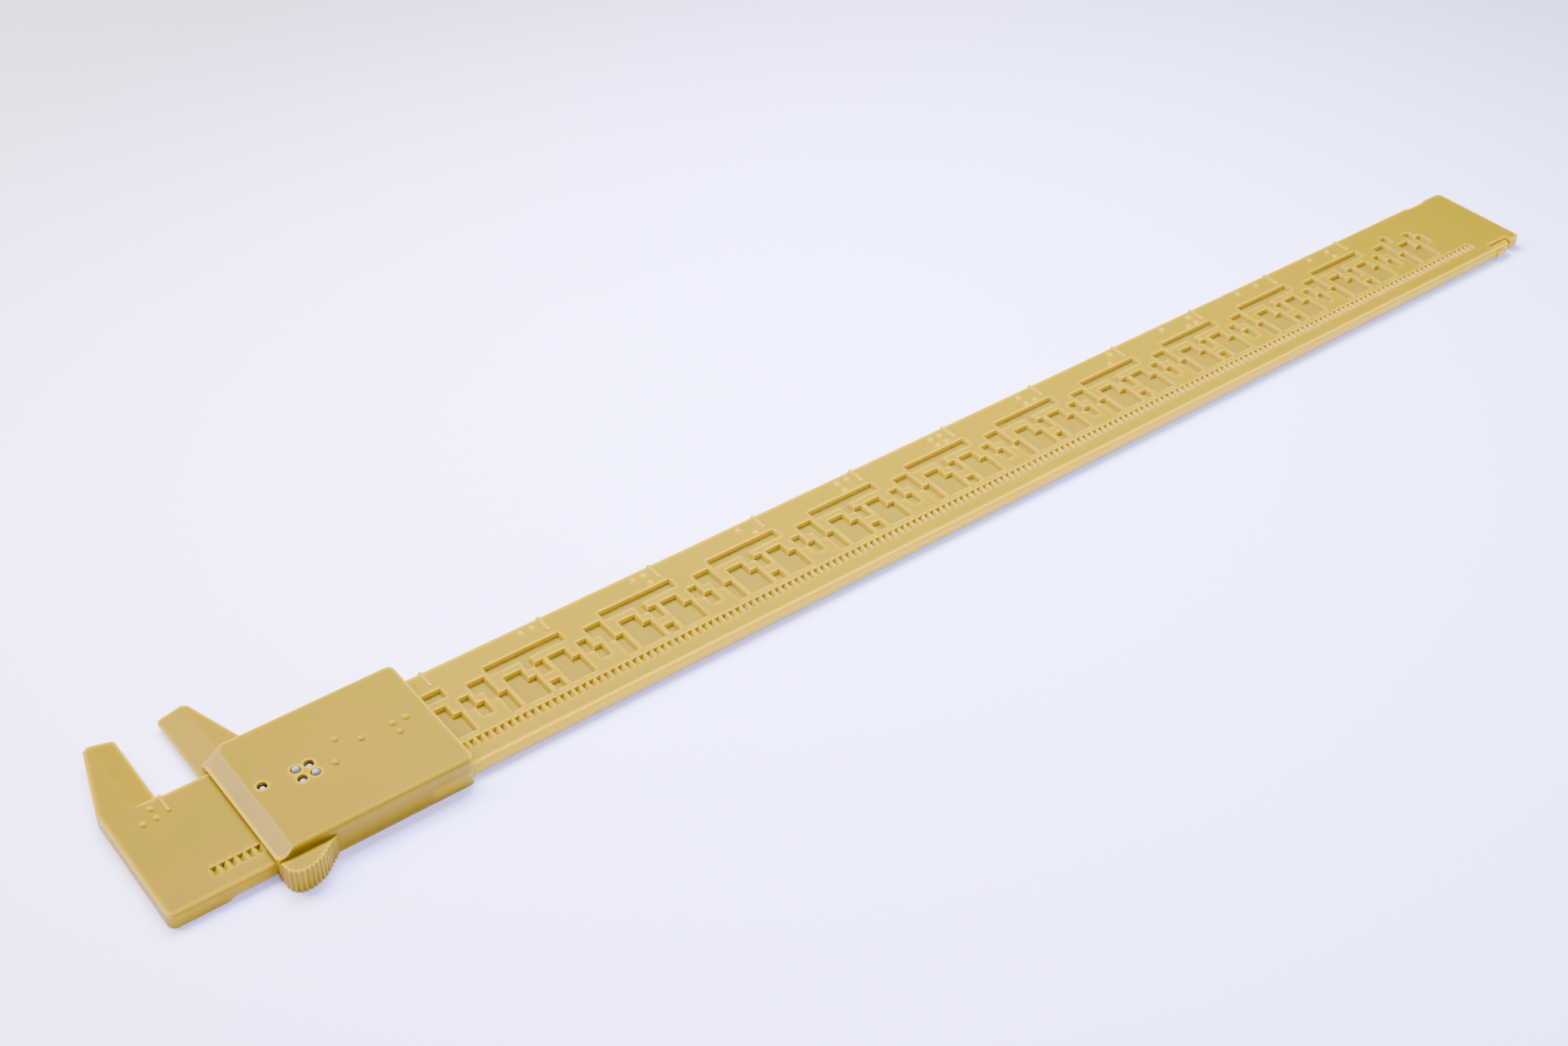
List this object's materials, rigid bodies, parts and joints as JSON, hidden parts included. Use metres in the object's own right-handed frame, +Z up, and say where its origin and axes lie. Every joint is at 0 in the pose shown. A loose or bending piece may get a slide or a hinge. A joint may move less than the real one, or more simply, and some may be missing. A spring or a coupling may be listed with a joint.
{
  "type": "tactile braille caliper rule",
  "caption": "Yellow plastic inch rule with a sliding caliper jaw; white braille pins in the slider rise and fall to spell the opening in sixteenths.",
  "frame": {"origin": "middle of the underside of the fixed jaw's head, on the beam's centre line, where the rule rests", "axes": "+X along the beam away from the fixed jaw, +Y across the beam towards the jaws, +Z up through the top face"},
  "size_m": [0.355, 0.0493, 0.0068],
  "materials": {
    "body": "satin",
    "pins": "satin",
    "steel": "satin"
  },
  "bodies": {
    "beam": {"beam": "body"},
    "slider": {"slider_shell": "body", "slider_base": "body", "pin_guide": "pins", "pin_spring_tens": "steel", "pin_spring_1": "steel", "pin_spring_2": "steel", "pin_spring_4": "steel", "pin_spring_5": "steel", "detent_spring": "steel"},
    "pin_tens": {"pin_tens": "pins"},
    "pin_dot_1": {"pin_dot_1": "pins"},
    "pin_dot_2": {"pin_dot_2": "pins"},
    "pin_dot_4": {"pin_dot_4": "pins"},
    "pin_dot_5": {"pin_dot_5": "pins"}
  },
  "joints": [
    {"name": "slider_slide", "type": "slide", "parent": "beam", "child": "slider", "axis": [1, 0, 0], "range_m": [-0.00792, 0.29686], "deforming": ["detent_spring"]},
    {"name": "pin_tens_rise", "type": "slide", "parent": "slider", "child": "pin_tens", "axis": [0, 0, 1], "range_m": [0, 0.00095], "stiffness_N_per_m": 20, "deforming": ["pin_spring_tens"]},
    {"name": "pin_dot_1_rise", "type": "slide", "parent": "slider", "child": "pin_dot_1", "axis": [0, 0, 1], "range_m": [-0.00095, 0], "stiffness_N_per_m": 20, "deforming": ["pin_spring_1"]},
    {"name": "pin_dot_2_rise", "type": "slide", "parent": "slider", "child": "pin_dot_2", "axis": [0, 0, 1], "range_m": [0, 0.00095], "stiffness_N_per_m": 20, "deforming": ["pin_spring_2"]},
    {"name": "pin_dot_4_rise", "type": "slide", "parent": "slider", "child": "pin_dot_4", "axis": [0, 0, 1], "range_m": [0, 0.00095], "stiffness_N_per_m": 20, "deforming": ["pin_spring_4"]},
    {"name": "pin_dot_5_rise", "type": "slide", "parent": "slider", "child": "pin_dot_5", "axis": [0, 0, 1], "range_m": [-0.00095, 0], "stiffness_N_per_m": 20, "deforming": ["pin_spring_5"]}
  ]
}
